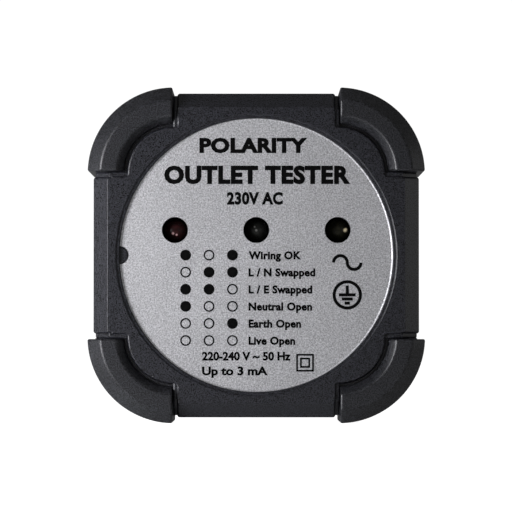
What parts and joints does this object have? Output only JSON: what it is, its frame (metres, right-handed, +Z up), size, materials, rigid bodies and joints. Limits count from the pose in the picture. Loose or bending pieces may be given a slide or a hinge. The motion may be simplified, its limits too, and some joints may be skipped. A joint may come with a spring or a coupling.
{
  "type": "outlet tester plug",
  "caption": "Plug-in mains outlet tester: square black case with soft corner guards, round printed metal label, lamp windows and rectangular plug pins.",
  "frame": {"origin": "centre of the rear face of the case, the face that seats on the outlet's plate", "axes": "+Y into the outlet, the way the pins point; +Z up when plugged in, with the earth pin uppermost; +X to the right as the label is read"},
  "size_m": [0.07, 0.0552, 0.0696],
  "materials": {
    "case_plastic": "fine spark texture",
    "guard_rubber": "matte elastomer",
    "label_metal": "satin, black printed legend",
    "adhesive": "clear acrylic film",
    "board": "solder mask over glass epoxy",
    "zinc_steel": "bright zinc plate",
    "lamp_red": "tinted epoxy lens",
    "lamp_clear": "clear epoxy lens",
    "lamp_amber": "tinted epoxy lens",
    "black_nylon": "moulded nylon",
    "resistor_coat": "lacquer coat",
    "diode_epoxy": "moulded epoxy",
    "pin_brass": "milled, bright",
    "natural_nylon": "moulded nylon",
    "spring_brass": "rolled strip"
  },
  "bodies": {
    "root": {"front_shell": "case_plastic", "rear_shell": "case_plastic", "guard_top_left": "guard_rubber", "guard_top_right": "guard_rubber", "guard_bottom_left": "guard_rubber", "guard_bottom_right": "guard_rubber", "face_label": "label_metal", "label_adhesive": "adhesive", "circuit_board": "board", "board_screws": "zinc_steel", "led_left": "lamp_red", "led_middle": "lamp_clear", "led_right": "lamp_amber", "led_spacer_left": "black_nylon", "led_spacer_middle": "black_nylon", "led_spacer_right": "black_nylon", "resistor_live_neutral": "resistor_coat", "resistor_live_earth": "resistor_coat", "resistor_neutral_earth": "resistor_coat", "diode_live_neutral": "diode_epoxy", "diode_live_earth": "diode_epoxy", "diode_neutral_earth": "diode_epoxy", "earth_pin": "pin_brass", "neutral_pin": "pin_brass", "live_pin": "pin_brass", "neutral_sleeve": "black_nylon", "live_sleeve": "black_nylon", "pin_retainer": "natural_nylon", "retainer_screws": "zinc_steel", "earth_contact": "spring_brass", "neutral_contact": "spring_brass", "live_contact": "spring_brass", "case_screws": "zinc_steel"}
  },
  "joints": []
}
